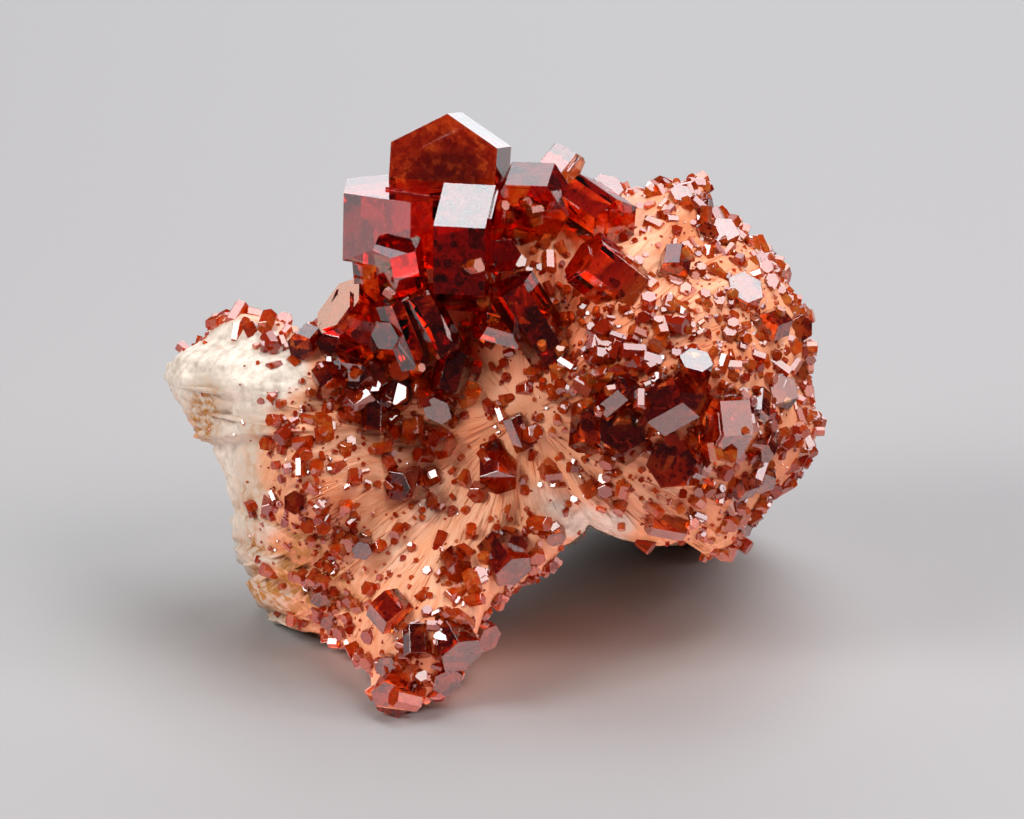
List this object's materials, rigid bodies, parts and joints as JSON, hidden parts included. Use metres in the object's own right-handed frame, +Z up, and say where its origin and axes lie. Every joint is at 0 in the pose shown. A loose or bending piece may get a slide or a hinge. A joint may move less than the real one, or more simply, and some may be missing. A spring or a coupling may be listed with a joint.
{
  "type": "vanadinite on matrix",
  "caption": "Mineral specimen: glassy red-brown hexagonal vanadinite prisms grown on a peach and white bladed barite matrix that stands upright on a front leg and a broad back foot.",
  "frame": {"origin": "middle of the bounding box, on the plane that the specimen stands on", "axes": "+Z up from the surface it stands on, +X to the right and -Y towards the viewer, as seen from the front"},
  "size_m": [0.0718, 0.062, 0.0594],
  "materials": {
    "barite": "satin, fibrous, white at the left end",
    "vanadinite": "glossy, deep red-brown, see-through with orange glints"
  },
  "bodies": {
    "root": {"matrix": "barite", "crystal_upper": "vanadinite", "crystal_dark_bar": "vanadinite", "crystal_shoulder": "vanadinite", "crystal_plum": "vanadinite", "crystal_amber": "vanadinite", "crystal_bay": "vanadinite", "crystal_twig": "vanadinite", "crystal_grape": "vanadinite", "crystal_arch": "vanadinite", "crystal_arch_rose": "vanadinite", "crystal_tilted": "vanadinite", "crystal_heel": "vanadinite", "crystal_foot": "vanadinite", "crystal_toe": "vanadinite", "crystal_knee": "vanadinite", "crystal_window": "vanadinite", "crystal_brick": "vanadinite", "crystal_coral": "vanadinite", "crystal_hem": "vanadinite", "crystal_pink": "vanadinite", "crystal_rust": "vanadinite", "crystal_flank": "vanadinite", "crystal_edge": "vanadinite", "crystal_rim": "vanadinite", "crystal_lilac": "vanadinite", "crystal_cream": "vanadinite", "crystal_peach": "vanadinite", "crystal_plate": "vanadinite", "crystal_glow": "vanadinite", "crystal_tablet": "vanadinite", "crystal_spike": "vanadinite", "crystal_left_disc": "vanadinite", "crystal_left_pink": "vanadinite", "crystal_corner": "vanadinite", "crystal_ledge": "vanadinite"}
  },
  "joints": []
}
